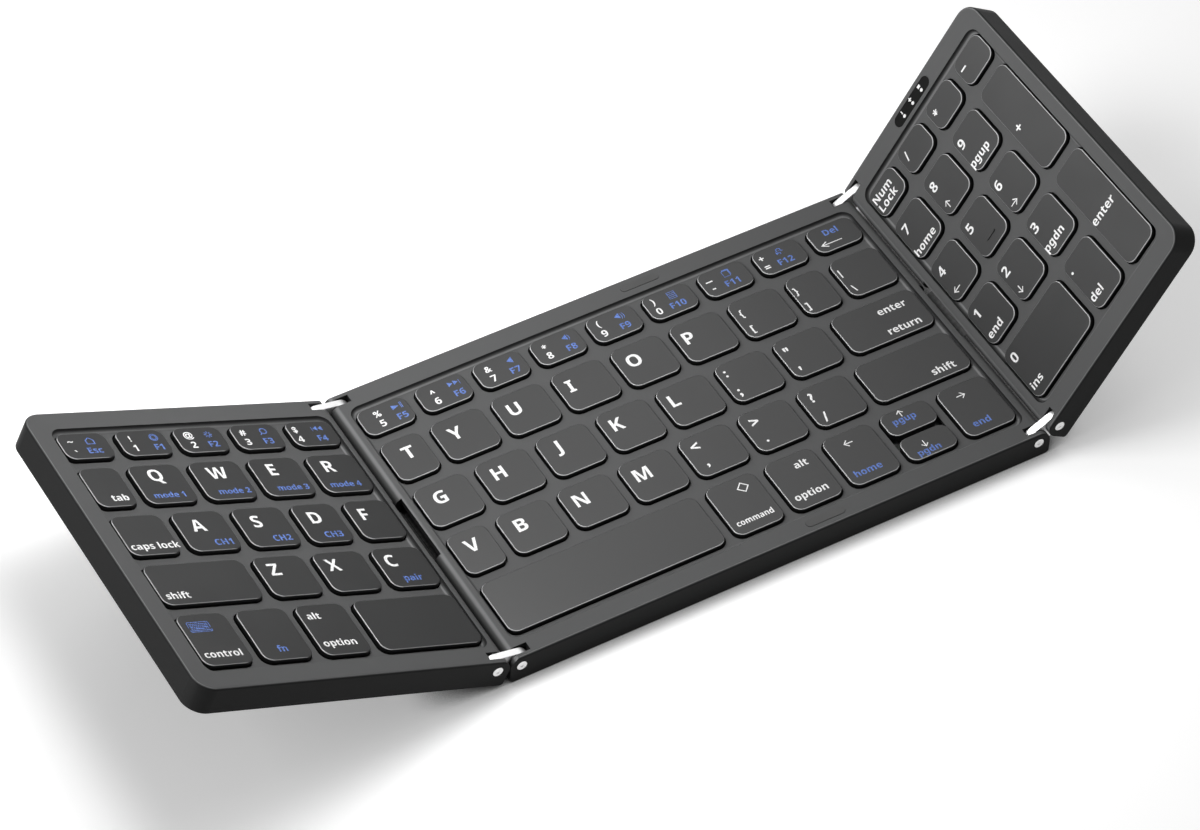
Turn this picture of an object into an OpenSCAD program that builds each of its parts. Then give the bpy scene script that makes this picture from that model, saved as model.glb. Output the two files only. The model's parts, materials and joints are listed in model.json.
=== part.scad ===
// Tri-fold keyboard: a middle panel with a number pad on its right and a small panel on its left,
// joined by two-pin link hinges so that both side panels fold face down onto the middle one.
// Origin: centre of the middle panel on the plane of its feet. X to the right, Y to the rear, Z up.

/* [Pose] */
// How far the left panel is folded up, degrees from flat
left_tilt = 24.8; // [0:0.2:179.6]
// How far the right panel is folded up, degrees from flat
right_tilt = 57.6; // [0:0.2:179.6]

/* [Panels] */
// Front to rear size of all three panels
depth = 101.4; // [91:0.2:112]
// Thickness of a panel, without its feet
panel_t = 8; // [7.8:0.1:8.6]
// Distance between the left and right fold pins of the middle panel
middle_pins = 154.4; // [142:0.2:170]
// Left panel, from its fold pin to its outer side
left_len = 90.2; // [81:0.2:100]
// Number pad panel, from its fold pin to its outer side
right_len = 63.6; // [57:0.2:71]
// Radius of the outer corners in plan
corner_r = 5.3; // [3.6:0.1:7]
// Rounding of the top outer edges
edge_r = 0.7; // [0.3:0.1:0.9]
// Wall thickness of the top cases
wall = 1.6; // [1.3:0.1:1.8]
// Thickness of the bottom covers
cover_t = 1.2; // [1:0.1:1.3]
// Height of the feet below the bottom covers
foot_h = 0.4; // [0.3:0.1:1.2]

/* [Fold hinges] */
// Distance between the two pins of a hinge link
pin_pitch = 7; // [7:0.1:8]
// Depth of the pins below the rim
pin_drop = 3.3; // [3.1:0.1:3.3]
// From a fold pin to the end face of its panel, also the rounding of the top edge along each fold
pin_to_end = 3.3; // [3.1:0.05:3.3]
// Small rounding of the bottom edge along each fold
fold_low_r = 0.9; // [0.4:0.1:1.2]
// Radius of the round ends of a link
link_r = 2.9; // [2.4:0.1:2.9]
// Thickness of a link
link_t = 2; // [1.6:0.1:2]
// Radius of a hinge pin
pin_r = 1; // [0.8:0.05:1.1]
// Running clearance between a pin and the link
pin_play = 0.06; // [0.03:0.01:0.1]
// Radius of a pin head
pin_head_r = 1.4; // [1.2:0.05:1.5]
// From the front or rear face to the middle of the link
link_inset = 2.7; // [2.7:0.1:3]
// Width of the slot that a link stands in
slot_w = 2.5; // [2.4:0.05:2.6]
// Width of the notch for the ribbon cable in each fold
ribbon_open = 21.4; // [19:0.2:26]
// Depth of the ribbon cable below the pins
ribbon_drop = 1.65; // [1.5:0.05:1.7]
// Width of the ribbon cables
ribbon_w = 18; // [10:0.5:18.4]

/* [Keys] */
// Width of the rim in front of the key deck
front_rim = 5.7; // [5.4:0.1:6.2]
// Width of the rim behind the key deck
rear_rim = 6.3; // [6:0.1:6.8]
// Gap between two keys of a row
key_gap = 2.9; // [2.6:0.1:3.4]
// Gap between two rows of keys
row_gap = 3.6; // [3.2:0.1:4]
// Depth of the number row keys as a share of the letter keys
short_share = 0.66; // [0.62:0.01:0.7]
// Depth of the space row keys as a share of the letter keys
long_share = 1.25; // [1.2:0.01:1.3]
// Gap between the two half-height arrow keys
arrow_gap = 1.4; // [1.2:0.1:1.8]
// Radius of the key corners in plan
key_r = 2.7; // [2:0.1:3]
// Rounding of the top edge of a key
key_edge = 0.3; // [0.2:0.05:0.5]
// Height of a key cap
cap_h = 2.1; // [2:0.05:2.4]
// Wall thickness of a key cap
cap_wall = 0.7; // [0.6:0.05:0.75]
// Roof thickness of a key cap
cap_roof = 0.9; // [0.7:0.05:1]
// Travel of a key
key_travel = 1.2; // [0.8:0.05:1.3]
// Clearance between a key and its opening in the deck
key_play = 0.4; // [0.35:0.05:0.45]
// Depth of the key deck below the rim
deck_drop = 1.3; // [1.1:0.05:1.4]
// Rounding between the key deck and the rim
deck_r = 1.6; // [1.5:0.1:2]
// Thickness of the key deck
deck_t = 1; // [0.8:0.05:1]

/* [Under the keys] */
// Thickness of the steel support plates
plate_t = 0.4; // [0.3:0.05:0.5]
// Thickness of the switch membranes
membrane_t = 0.3; // [0.2:0.05:0.3]
// Height of the rubber domes
dome_h = 1.9; // [1.8:0.05:1.9]
// Radius of a dome at its foot
dome_r = 1.95; // [1.6:0.05:2]
// Thickness of the battery
battery_t = 2.1; // [1.6:0.1:2.2]

/* [Charging socket] */
// Width of the socket shell
socket_w = 8.94; // [8.94]
// Height of the socket shell
socket_h = 3.16; // [3.16]
// Distance of the socket from the fold pin of the number pad panel
socket_x = 15.6; // [14:0.1:16.6]

/* [Light window] */
// Distance of the window centre from the fold pin of the number pad panel
window_x = 31.4; // [30.5:0.1:40]
// Length of the window
window_l = 16.7; // [14:0.1:18]
// Front to rear size of the window
window_d = 3.6; // [3:0.1:3.8]
// Distance between two lights
light_pitch = 4.45; // [4:0.05:5]

/* [Hidden] */
$fn = 48;
eps = 0.01;
pin_z = panel_t - pin_drop;
fold_r = pin_to_end;                     // fold edges are round about their pins
half_d = depth / 2;
half_m = middle_pins / 2;
link_y = half_d - link_inset;
deck_z = panel_t - deck_drop;
deck_under = deck_z - deck_t;
cap_z = panel_t - cap_h;
roof_z = panel_t - cap_roof;
boss_h = 0.9;                            // boss under a cap, down to its dome
membrane_z = roof_z - boss_h - dome_h;    // top of the membrane, under the domes
plate_z = membrane_z - membrane_t;      // top of the support plate
under_plate = plate_z - plate_t;
clear = 0.15;                            // fitting gap between a cover and its case
rim_front = half_d - front_rim;          // front end of the recessed key deck
rim_rear = half_d - rear_rim;            // rear end of the recessed key deck
boss_r = 1.75;
screw_r = 0.7;
screw_head_r = 1.45;
screw_y = half_d - 3.85;
block_l = pin_to_end + 5.4;              // length of the solid block round a hinge slot
block_y = half_d - 6.4;                  // inner face of that block
plate_front = block_y - 0.1;             // front end of the plates and membranes
plate_rear = block_y - 0.4;
slot_in = link_r + 0.25;                 // slot reaches this far past the pin
foot_w = 5;
foot_l = 24;
side_foot_l = 18;
bumper_x = (left_len - right_len) / 2;
bumper_l = 11.6;
bumper_w = 2.4;
bumper_up = 0.15;
bumper_y = half_d - 3.1;
ribbon_t = 0.3;
ribbon_z = pin_z - ribbon_drop;          // middle of the ribbon cable in a panel
notch_x = ribbon_drop - ribbon_t / 2 - 0.1;  // inner end of the notch, from the pin
ribbon_end = notch_x + 0.02;             // the span stops this far from each pin

// Rows, from rear to front: front to rear size, and centre in Y
rear_margin = 2;
front_margin = 2.2;
letter_d = (rim_front + rim_rear - rear_margin - front_margin - 4 * row_gap) / (short_share + 3 + long_share);
ROW_D = [for (share = [short_share, 1, 1, 1, long_share]) snap(letter_d * share)];
ROW_Y = [for (r = [0:4]) rim_rear - rear_margin - sum(ROW_D, r) - r * row_gap - ROW_D[r] / 2];

// Cells of each row, key plus gap, in letter key pitches; 0 takes what is left of the row
MIDDLE_CELLS = [
    [for (i = [0:8]) 0],
    [0.817, 1, 1, 1, 1, 1, 1, 0.778, 0],
    [1, 1, 1, 1, 1, 1, 1, 0],
    [0.794, 1, 1, 1, 1, 1, 1, 0],
    [3.667, 0.978, 0.978, 0.978, 0.978, 0]];
LEFT_CELLS = [                            // from the fold outwards
    [for (i = [0:4]) 0],
    [1, 1, 1, 1, 0],
    [0.917, 0.9, 1, 1, 0],
    [1.011, 1, 1, 0],
    [1.889, 0.972, 0.972, 0]];
RIGHT_CELLS = [for (r = [0:4]) [for (i = [0:3]) 0]];
middle_pitches = 8.58;                   // width of a full row in letter key pitches
left_pitches = 4.8;
right_pitches = 4;
middle_span = middle_pins - 2.9;
left_start = 0.8;
left_rim = 5.9;                          // rim beside the outer keys
left_span = left_len - left_start - left_rim;
right_start = 1.9;
side_margin = 0.6;                       // deck beside the keys of the side panels
right_rim = 4.5;
right_span = right_len - right_start - right_rim;

function sum(v, n) = n <= 0 ? 0 : sum(v, n - 1) + v[n - 1];
function zeros(v) = len([for (x = v) if (x == 0) x]);
function filled(v, n) = let (rest = (n - sum(v, len(v))) / max(1, zeros(v)))
    [for (x = v) x == 0 ? rest : x];
function snap(x) = round(x * 50) / 50;   // sizes and places are whole steps of 0.02
// One row of keys as [centre x, centre y, width, front to rear size]; n is the row's width in pitches
function row_of(cells, start, span, n, r) = let (c = filled(cells, n) * ((span + key_gap) / n))
    [for (i = [0:len(c) - 1])
        [snap(start + sum(c, i) + (c[i] - key_gap) / 2), ROW_Y[r], snap(c[i] - key_gap), ROW_D[r]]];
function halves(k) = let (d = (k[3] - arrow_gap) / 2)
    [for (s = [1, -1]) [k[0], k[1] + s * (d + arrow_gap) / 2, k[2], d]];
function pick(v, from, to) = [for (i = [from:to]) v[i]];
// One key reaching over two rows, rear row given first
function tall(a, b) = let (y1 = a[1] + a[3] / 2, y0 = b[1] - b[3] / 2)
    [a[0], (y0 + y1) / 2, a[2], y1 - y0];
function wide(a, b) = let (x0 = a[0] - a[2] / 2, x1 = b[0] + b[2] / 2)
    [(x0 + x1) / 2, a[1], x1 - x0, a[3]];

function middle_cells(r) = row_of(MIDDLE_CELLS[r], -middle_span / 2, middle_span, middle_pitches, r);
function middle_row(r) = let (v = middle_cells(r))
    r == 4 ? concat(pick(v, 0, 3), halves(v[4]), [v[5]]) : v;
function left_row(r) = row_of(LEFT_CELLS[r], left_start, left_span, left_pitches, r);
function pad_row(r) = row_of(RIGHT_CELLS[r], right_start, right_span, right_pitches, r);
function right_row(r) =
    r == 0 ? pad_row(0) :
    r == 1 ? concat(pick(pad_row(1), 0, 2), [tall(pad_row(1)[3], pad_row(2)[3])]) :
    r == 2 ? pick(pad_row(2), 0, 2) :
    r == 3 ? concat(pick(pad_row(3), 0, 2), [tall(pad_row(3)[3], pad_row(4)[3])]) :
    [wide(pad_row(4)[0], pad_row(4)[1]), pad_row(4)[2]];
MIDDLE_KEYS = [for (r = [0:4]) each middle_row(r)];
LEFT_KEYS = [for (r = [0:4]) each left_row(r)];
RIGHT_KEYS = [for (r = [0:4]) each right_row(r)];
// Deck openings: the arrow keys share one
MIDDLE_HOLES = [for (r = [0:4]) each middle_cells(r)];

post_y = half_d - 8.7;                   // posts that hold up the support plates
middle_screw_x = half_m - 11.2;
left_screw_x = left_len - 8.2;
right_screw_x = right_len - 10.6;
first_screw_x = 10;                      // side panels' screws next to the fold
right_post_x = right_len - 6.6;
MIDDLE_SCREWS = [for (i = [-1, -1/3, 1/3, 1], s = [-1, 1]) [i * middle_screw_x, s * screw_y]];
LEFT_SCREWS = [for (x = [first_screw_x, (first_screw_x + left_screw_x) / 2, left_screw_x], s = [-1, 1])
    [x, s * screw_y]];
RIGHT_SCREWS = [for (p = [[first_screw_x - 1.7, 1], [first_screw_x, -1], [right_screw_x, 1],
    [right_screw_x, -1]]) [p[0], p[1] * screw_y]];
MIDDLE_POSTS = [for (i = [-2:2], s = [-1, 1]) [i / 2 * (half_m - 3.2), s * post_y]];
LEFT_POSTS = [for (x = [3, left_len / 2 - 2.1, left_screw_x], s = [-1, 1]) [x, s * post_y]];
RIGHT_POSTS = [for (x = [4, right_post_x], s = [-1, 1]) [x, s * post_y]];

// ---- shared shapes ----

module round_rect(w, d, r) {
    square([w - 2 * r, d], center = true);
    square([w, d - 2 * r], center = true);
    for (x = [-1, 1], y = [-1, 1])
        translate([x * (w / 2 - r), y * (d / 2 - r)]) circle(r = r);
}

module plate_of(w, d, h, r) {
    linear_extrude(height = h) round_rect(w, d, r);
}

// Profile with its two top corners rounded
module top_rounded(l, h, c) {
    translate([-l / 2, 0]) square([l, h - c]);
    translate([-l / 2 + c, 0]) square([l - 2 * c, h]);
    for (s = [-1, 1]) translate([s * (l / 2 - c), h - c]) circle(r = c);
}

// Block with round corners in plan and a rounded top edge
module soft_block(w, d, h, r, c) {
    translate([0, (d - 2 * r) / 2, 0]) rotate([90, 0, 0])
        linear_extrude(height = d - 2 * r) top_rounded(w, h, c);
    translate([-(w - 2 * r) / 2, 0, 0]) rotate([90, 0, 90])
        linear_extrude(height = w - 2 * r) top_rounded(d, h, c);
    for (x = [-1, 1], y = [-1, 1])
        translate([x * (w / 2 - r), y * (d / 2 - r), 0]) rotate_extrude() {
            square([r, h - c]);
            square([r - c, h]);
            translate([r - c, h - c]) circle(r = c);
        }
}

// Half profile of a fold end in the XZ plane, from x = -len to the end face
module fold_profile(len) {
    union() {
        translate([-len, 0]) square([len + pin_to_end - fold_r, panel_t]);
        translate([-len, fold_low_r]) square([len + pin_to_end, panel_t - fold_r - fold_low_r]);
        translate([-len, 0]) square([len + pin_to_end - fold_low_r, panel_t - fold_r]);
        translate([pin_to_end - fold_r, panel_t - fold_r]) circle(r = fold_r);
        translate([pin_to_end - fold_low_r, fold_low_r]) circle(r = fold_low_r);
    }
}

// Bar along Y with the fold end profile, front and rear top edges rounded; fold end at +X of the pin
module fold_end(len) {
    intersection() {
        translate([0, half_d + 1, 0]) rotate([90, 0, 0])
            linear_extrude(height = depth + 2) fold_profile(len);
        translate([-len - 1, 0, 0]) rotate([90, 0, 90])
            linear_extrude(height = len + pin_to_end + 2) top_rounded(depth, panel_t, edge_r);
    }
}

module key_openings(keys) {
    for (k = keys) translate([k[0], k[1]])
        round_rect(k[2] + 2 * key_play, k[3] + 2 * key_play, key_r + key_play);
}

// What a link needs: the slot, and the pin bore through ear and block; s = 1 rear, -1 front
module hinge_cuts(s) {
    translate([-slot_in, s * link_y - slot_w / 2, pin_z - slot_in])
        cube([slot_in + pin_to_end + 1, slot_w, panel_t]);
    translate([0, s * (half_d + 1), pin_z]) rotate([s * 90, 0, 0])
        cylinder(r = pin_r, h = 6.2);
    translate([0, s * (half_d + 1), pin_z]) rotate([s * 90, 0, 0])
        cylinder(r = pin_head_r + 0.15, h = 1.6);
}

module hinge_block(s) {
    translate([-block_l + pin_to_end, s > 0 ? block_y : -half_d + wall - eps, cover_t])
        cube([block_l - wall + eps, half_d - wall - block_y + eps, deck_under - cover_t + eps]);
}

// Notch for the ribbon cable in the end face of a panel; it stays outside the crest over the pins
module ribbon_cut() {
    translate([notch_x, -ribbon_open / 2, ribbon_z - 0.4])
        cube([pin_to_end - notch_x + 1, ribbon_open, panel_t]);
}

// Recess of the key deck between two X and two Y values, its foot rounded up to the rim
module deck_pocket(x0, x1, y0, y1) {
    w = x1 - x0;
    d = y1 - y0;
    r = 2 * deck_r;
    translate([(x0 + x1) / 2, (y0 + y1) / 2, deck_z]) {
        translate([0, (d - 2 * r) / 2, 0]) rotate([90, 0, 0])
            linear_extrude(height = d - 2 * r) foot_rounded(w);
        translate([-(w - 2 * r) / 2, 0, 0]) rotate([90, 0, 90])
            linear_extrude(height = w - 2 * r) foot_rounded(d);
        for (x = [-1, 1], y = [-1, 1])
            translate([x * (w / 2 - r), y * (d / 2 - r), 0]) rotate_extrude() {
                translate([0, deck_r]) square([r, 1]);
                square([deck_r, deck_r + 1]);
                translate([deck_r, deck_r]) circle(r = deck_r);
            }
    }
}

// Profile with its two lower corners rounded
module foot_rounded(l) {
    translate([-l / 2, deck_r]) square([l, 1]);
    translate([-l / 2 + deck_r, 0]) square([l - 2 * deck_r, deck_r + 1]);
    for (s = [-1, 1]) translate([s * (l / 2 - deck_r), deck_r]) circle(r = deck_r);
}

module screw_boss(p) {
    translate([p[0], p[1], cover_t]) cylinder(r = boss_r, h = deck_under - cover_t + eps);
}

module screw_bore(p) {
    translate([p[0], p[1], -1]) cylinder(r = screw_r, h = cover_t + 4.2);
}

module press_block(p) {
    s = sign(p[1]);
    y = s > 0 ? plate_rear : -plate_front;
    translate([p[0] - 1.5, s > 0 ? y - 0.9 : y, membrane_z])
        cube([3, 0.9, deck_under - membrane_z + eps]);
}

// ---- cases ----

module middle_shell() {
    len = half_m;
    difference() {
        union() {
            translate([half_m, 0, 0]) fold_end(len);
            mirror([1, 0, 0]) translate([half_m, 0, 0]) fold_end(len);
        }
        w = middle_pins + 2 * (pin_to_end - wall);
        translate([0, 0, -1]) plate_of(w, depth - 2 * wall, deck_under + 1, 1);
    }
}

module middle_case() {
    difference() {
        union() {
            middle_shell();
            for (m = [0, 1], s = [-1, 1]) mirror([m, 0, 0]) translate([half_m, 0, 0]) hinge_block(s);
            for (p = MIDDLE_SCREWS) screw_boss(p);
            for (p = MIDDLE_POSTS) press_block(p);
        }
        deck_pocket(-middle_span / 2 - 1, middle_span / 2 + 1, -rim_front, rim_rear);
        translate([0, 0, deck_under - 1]) linear_extrude(height = deck_t + 2) key_openings(MIDDLE_HOLES);
        thumb_scoop();
        for (m = [0, 1], s = [-1, 1]) mirror([m, 0, 0]) translate([half_m, 0, 0]) hinge_cuts(s);
        for (m = [0, 1]) mirror([m, 0, 0]) translate([half_m, 0, 0]) ribbon_cut();
        for (p = MIDDLE_SCREWS) screw_bore(p);
        for (s = [-1, 1]) translate([bumper_x, s * bumper_y, panel_t - 0.6])
            plate_of(bumper_l, bumper_w, 2, bumper_w / 2 - 0.01);
    }
}

// Shallow thumb relief in front of the space bar, its outer edge cut square to a slope
module thumb_scoop() {
    k = middle_row(4)[0];
    x0 = k[0] - k[2] / 2;
    x1 = k[0] + k[2] / 2;
    translate([0, 0, panel_t - 0.6]) linear_extrude(height = 2) {
        polygon([[x0 + 4.8, -rim_front + 1], [x0 + 4.8, -rim_front], [x0 + 7.4, -rim_front - 2.4],
            [x0 + 8.6, -rim_front - 3.1], [x1 - 1.2, -rim_front - 3.1], [x1, -rim_front - 2.4],
            [x1 + 2.2, -rim_front], [x1 + 2.2, -rim_front + 1]]);
    }
}

// Side panel outside, from the fold pin outwards along +X
module side_shell(len) {
    mid = len / 2;
    difference() {
        union() {
            mirror([1, 0, 0]) fold_end(mid);
            translate([len - (len - 6) / 2, 0, 0]) soft_block(len - 6, depth, panel_t, corner_r, edge_r);
        }
        x0 = -pin_to_end + wall;
        translate([(x0 + len - wall) / 2, 0, -1])
            plate_of(len - wall - x0, depth - 2 * wall, deck_under + 1, 1);
    }
}

module fold_side(x) {
    mirror([1, 0, 0]) translate([x, 0, 0]) children();
}

module side_case(len, keys, start, span, screws, posts) {
    difference() {
        union() {
            side_shell(len);
            for (p = screws) screw_boss(p);
            for (s = [-1, 1]) fold_side(0) hinge_block(s);
            for (p = posts) press_block(p);
        }
        deck_pocket(start - side_margin, start + span + side_margin, -rim_front, rim_rear);
        translate([0, 0, deck_under - 1]) linear_extrude(height = deck_t + 2) key_openings(keys);
        for (s = [-1, 1]) fold_side(0) hinge_cuts(s);
        fold_side(0) ribbon_cut();
        for (p = screws) screw_bore(p);
    }
}

module right_case() {
    difference() {
        side_case(right_len, RIGHT_KEYS, right_start, right_span, RIGHT_SCREWS, RIGHT_POSTS);
        // mouth of the charging socket
        translate([socket_x, half_d - wall - 1, board_top + socket_h / 2]) rotate([-90, 0, 0])
            linear_extrude(height = wall + 2) round_rect(socket_w + 0.3, socket_h + 0.3, socket_h / 2);
        // seat and throat of the light window
        translate([window_x, window_y, panel_t - 0.9]) plate_of(window_l, window_d, 2, window_d / 2 - 0.01);
        for (i = [-1:1]) translate([window_x + i * light_pitch, window_y - 0.2, deck_under - 1])
            cylinder(r = 0.85, h = panel_t);
    }
}

// ---- bottom covers ----

module cover_of(x0, x1, screws, posts, feet) {
    difference() {
        union() {
            translate([(x0 + x1) / 2, 0, 0])
                plate_of(x1 - x0 - 2 * clear, depth - 2 * wall - 2 * clear, cover_t, 1);
            for (p = posts) translate([p[0], p[1], cover_t - eps])
                cylinder(r = 1.1, h = under_plate - cover_t + eps);
        }
        for (p = screws) {
            translate([p[0], p[1], -1]) cylinder(r = screw_r + 0.1, h = cover_t + 2);
            translate([p[0], p[1], -1]) cylinder(r = screw_head_r + 0.1, h = 1.7);
        }
        for (f = feet) translate([f[0], f[1], -1]) plate_of(f[2] + 0.1, f[3] + 0.1, 1.5, f[3] / 2);
    }
}

foot_y = half_d - 10.7;
MIDDLE_FEET = [for (m = [-1, 1], s = [-1, 1]) [m * (half_m - 17.2), s * foot_y, foot_l, foot_w]];
LEFT_FEET = [for (s = [-1, 1]) [left_len - 16.2, s * foot_y, side_foot_l, foot_w]];
RIGHT_FEET = [for (s = [-1, 1]) [right_len - 15.6, s * foot_y, side_foot_l, foot_w]];

module feet_of(feet) {
    for (f = feet) translate([f[0], f[1], -foot_h]) plate_of(f[2], f[3], foot_h + 0.5, f[3] / 2 - 0.01);
}

module screws_of(screws) {
    for (p = screws) translate([p[0], p[1], 0]) difference() {
        union() {
            translate([0, 0, 0.05]) cylinder(r = screw_head_r, h = 0.65);
            cylinder(r = screw_r, h = cover_t + 3);
        }
        translate([0, 0, -eps]) for (a = [0, 90]) rotate([0, 0, a])
            translate([-0.8, -0.17, -1]) cube([1.6, 0.34, 1.4]);
    }
}

// ---- under the keys ----

module sheet_of(x0, x1, z, t, keys, hole_r) {
    difference() {
        translate([(x0 + x1) / 2, (plate_rear - plate_front) / 2, z])
            plate_of(x1 - x0, plate_rear + plate_front, t, 1);
        for (k = keys) translate([k[0], k[1], z - 1]) cylinder(r = hole_r, h = t + 2);
    }
}

module domes_of(keys) {
    for (k = keys) translate([k[0], k[1], membrane_z]) rotate_extrude()
        polygon([[dome_r - 0.6, 0], [dome_r, 0], [dome_r, 0.3], [1.25, dome_h], [0, dome_h],
            [0, dome_h - 0.45], [0.95, dome_h - 0.45]]);
}

// Two crossed frames per key that keep it level
module scissors_of(keys) {
    rise = roof_z - membrane_z;
    bar = 0.5;
    t = 0.45;
    half = 4.1;
    tilt = asin((rise - t - 0.14) / (2 * half));
    for (k = keys) translate([k[0], k[1], membrane_z + rise / 2]) {
        for (s = [-1, 1]) rotate([0, s * tilt, 0]) {
            w = s > 0 ? 3.3 : 2.65;
            difference() {
                cube([2 * half, 2 * w, t], center = true);
                cube([2 * half - 2 * bar, 2 * (w - bar), t + 1], center = true);
            }
            if (s > 0) for (m = [-1, 1]) translate([0, m * 2.8, 0]) rotate([m * 90, 0, 0])
                cylinder(r = 0.2, h = 0.13);
        }
    }
}

// ---- keys ----

module key_cap(k) {
    w = k[2];
    d = k[3];
    translate([k[0], k[1], cap_z]) {
        difference() {
            soft_block(w, d, cap_h, key_r, key_edge);
            translate([0, 0, -1])
                plate_of(w - 2 * cap_wall, d - 2 * cap_wall, cap_h - cap_roof + 1, key_r - cap_wall);
        }
        translate([0, 0, cap_h - cap_roof - boss_h]) cylinder(r = 1.2, h = boss_h + eps);
    }
}

module keys_of(keys) {
    for (k = keys) key_cap(k);
}

module pad_locator() {
    k = right_row(2)[1];
    translate([k[0], k[1] - 3.7, panel_t - eps]) plate_of(3.8, 0.7, 0.25, 0.3);
}

// ---- hinges ----

module links() {
    for (s = [-1, 1]) translate([0, s * link_y + link_t / 2, 0]) rotate([90, 0, 0])
        linear_extrude(height = link_t) difference() {
            union() {
                translate([0, -link_r]) square([pin_pitch, 2 * link_r]);
                circle(r = link_r);
                translate([pin_pitch, 0]) circle(r = link_r);
            }
            circle(r = pin_r + pin_play);
            translate([pin_pitch, 0]) circle(r = pin_r + pin_play);
        }
}

// Front and rear pins of one fold line of one panel
module pins() {
    for (s = [-1, 1]) translate([0, s * half_d, pin_z]) rotate([s * 90, 0, 0]) difference() {
        union() {
            translate([0, 0, 0.1]) cylinder(r = pin_head_r, h = 0.5);
            translate([0, 0, 0.1]) cylinder(r = pin_r, h = 5.1);
        }
        translate([0, 0, -1]) cylinder(r = 0.55, h = 1.25);
    }
}

// Ribbon cable: the part that crosses a fold, under the line of the two pins
module ribbon_span() {
    translate([ribbon_end, -ribbon_w / 2, -ribbon_drop - ribbon_t / 2])
        cube([pin_pitch - 2 * ribbon_end, ribbon_w, ribbon_t]);
}

// Ribbon cable inside a panel, fold end at +X, with its plug under the support plate
module ribbon_tail() {
    z1 = ribbon_z - ribbon_t / 2;
    translate([-9, -ribbon_w / 2, z1]) cube([9 + notch_x - 0.02, ribbon_w, ribbon_t]);
    translate([-9, -ribbon_w / 2, z1]) cube([4, ribbon_w, under_plate - z1]);
}

// ---- electronics ----

battery_l = middle_pins - 68.4;
battery_w = depth - 55.4;
board_z = cover_t + 0.1;
board_t = 0.8;
board_top = board_z + board_t;
window_y = half_d - 3.4;

board_x0 = 11;
board_x1 = right_post_x;
board_y0 = -2;
board_y1 = half_d - wall - clear - 0.2;
CHIPS = [[13, 16, 8, 8, 0.9], [29, 20, 5, 5, 0.8], [25, 10, 3.2, 2.5, 0.7]];

module board() {
    difference() {
        translate([(board_x0 + board_x1) / 2, (board_y0 + board_y1) / 2, board_z])
            plate_of(board_x1 - board_x0, board_y1 - board_y0, board_t, 1);
        for (p = RIGHT_SCREWS) translate([p[0], p[1], 0]) cylinder(r = boss_r + 0.3, h = 9);
        for (p = RIGHT_POSTS) translate([p[0], p[1], 0]) cylinder(r = 1.5, h = 9);
    }
    for (c = CHIPS) translate([board_x0 + c[0], board_y0 + c[1], board_top - eps])
        cube([c[2], c[3], c[4] + eps]);
    // spacers that rest on the cover
    for (x = [board_x0 + 5, board_x1 - 5], y = [board_y0 + 4, board_y0 + 38])
        translate([x, y, cover_t]) cylinder(r = 1, h = 0.1 + eps);
}

module socket() {
    y1 = half_d - 0.35;
    translate([socket_x, y1 - 6.4, board_top + socket_h / 2]) rotate([-90, 0, 0]) difference() {
        linear_extrude(height = 6.4) round_rect(socket_w, socket_h, socket_h / 2 - 0.01);
        translate([0, 0, 0.6]) linear_extrude(height = 7)
            round_rect(socket_w - 0.6, socket_h - 0.6, socket_h / 2 - 0.31);
    }
    translate([socket_x - 3.3, y1 - 6.2, board_top + socket_h / 2 - 0.35]) cube([6.6, 5.4, 0.7]);
}

module lights() {
    for (i = [-1:1]) translate([window_x + i * light_pitch, window_y - 0.2, board_top]) {
        translate([-0.6, -0.5, 0]) cube([1.2, 1, 0.6]);
        cylinder(r = 0.7, h = panel_t - 0.9 - board_top);
    }
}

module window_lens() {
    translate([window_x, window_y, panel_t - 0.9])
        plate_of(window_l - 0.1, window_d - 0.1, 0.85, window_d / 2 - 0.06);
}

// ---- placing ----

module middle_at() {
    translate([0, 0, foot_h]) children();
}

// s = 1 right side, s = -1 left side; children are built outwards along +X from the fold pin
module side_at(s, tilt) {
    mirror([s < 0 ? 1 : 0, 0, 0])
        translate([half_m + pin_pitch * cos(tilt / 2), 0, foot_h + pin_z + pin_pitch * sin(tilt / 2)])
            rotate([0, -tilt, 0]) translate([0, 0, -pin_z]) children();
}

module link_at(s, tilt) {
    mirror([s < 0 ? 1 : 0, 0, 0])
        translate([half_m, 0, foot_h + pin_z]) rotate([0, -tilt / 2, 0]) children();
}

module left_at() {
    side_at(-1, left_tilt) children();
}

module right_at() {
    side_at(1, right_tilt) children();
}

case_grey = [0.27, 0.27, 0.28];
key_grey = [0.28, 0.28, 0.29];
steel = [0.72, 0.73, 0.75];

module middle_top_case() color(case_grey) middle_at() middle_case();
module middle_bottom_cover() color(case_grey * 0.8) middle_at()
    cover_of(-half_m - pin_to_end + wall, half_m + pin_to_end - wall, MIDDLE_SCREWS, MIDDLE_POSTS, MIDDLE_FEET);
module middle_support_plate() color(steel) middle_at()
    sheet_of(-half_m + 1.9, half_m - 1.9, under_plate, plate_t, MIDDLE_KEYS, 0.9);
module middle_membrane() color([0.85, 0.87, 0.84]) middle_at()
    sheet_of(-half_m + 1.9, half_m - 1.9, plate_z, membrane_t, MIDDLE_KEYS, 0.5);
module middle_rubber_domes() color([0.9, 0.9, 0.88]) middle_at() domes_of(MIDDLE_KEYS);
module middle_scissor_frames() color([0.8, 0.8, 0.78]) middle_at() scissors_of(MIDDLE_KEYS);
module middle_feet() color([0.1, 0.1, 0.1]) middle_at() feet_of(MIDDLE_FEET);
module middle_screws() color([0.2, 0.2, 0.21]) middle_at() screws_of(MIDDLE_SCREWS);
module middle_hinge_pins() color(steel) middle_at() for (m = [0, 1]) mirror([m, 0, 0])
    translate([half_m, 0, 0]) pins();
module middle_ribbon_tails() color([0.1, 0.1, 0.1]) middle_at() for (m = [0, 1]) mirror([m, 0, 0])
    translate([half_m, 0, 0]) ribbon_tail();
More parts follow.
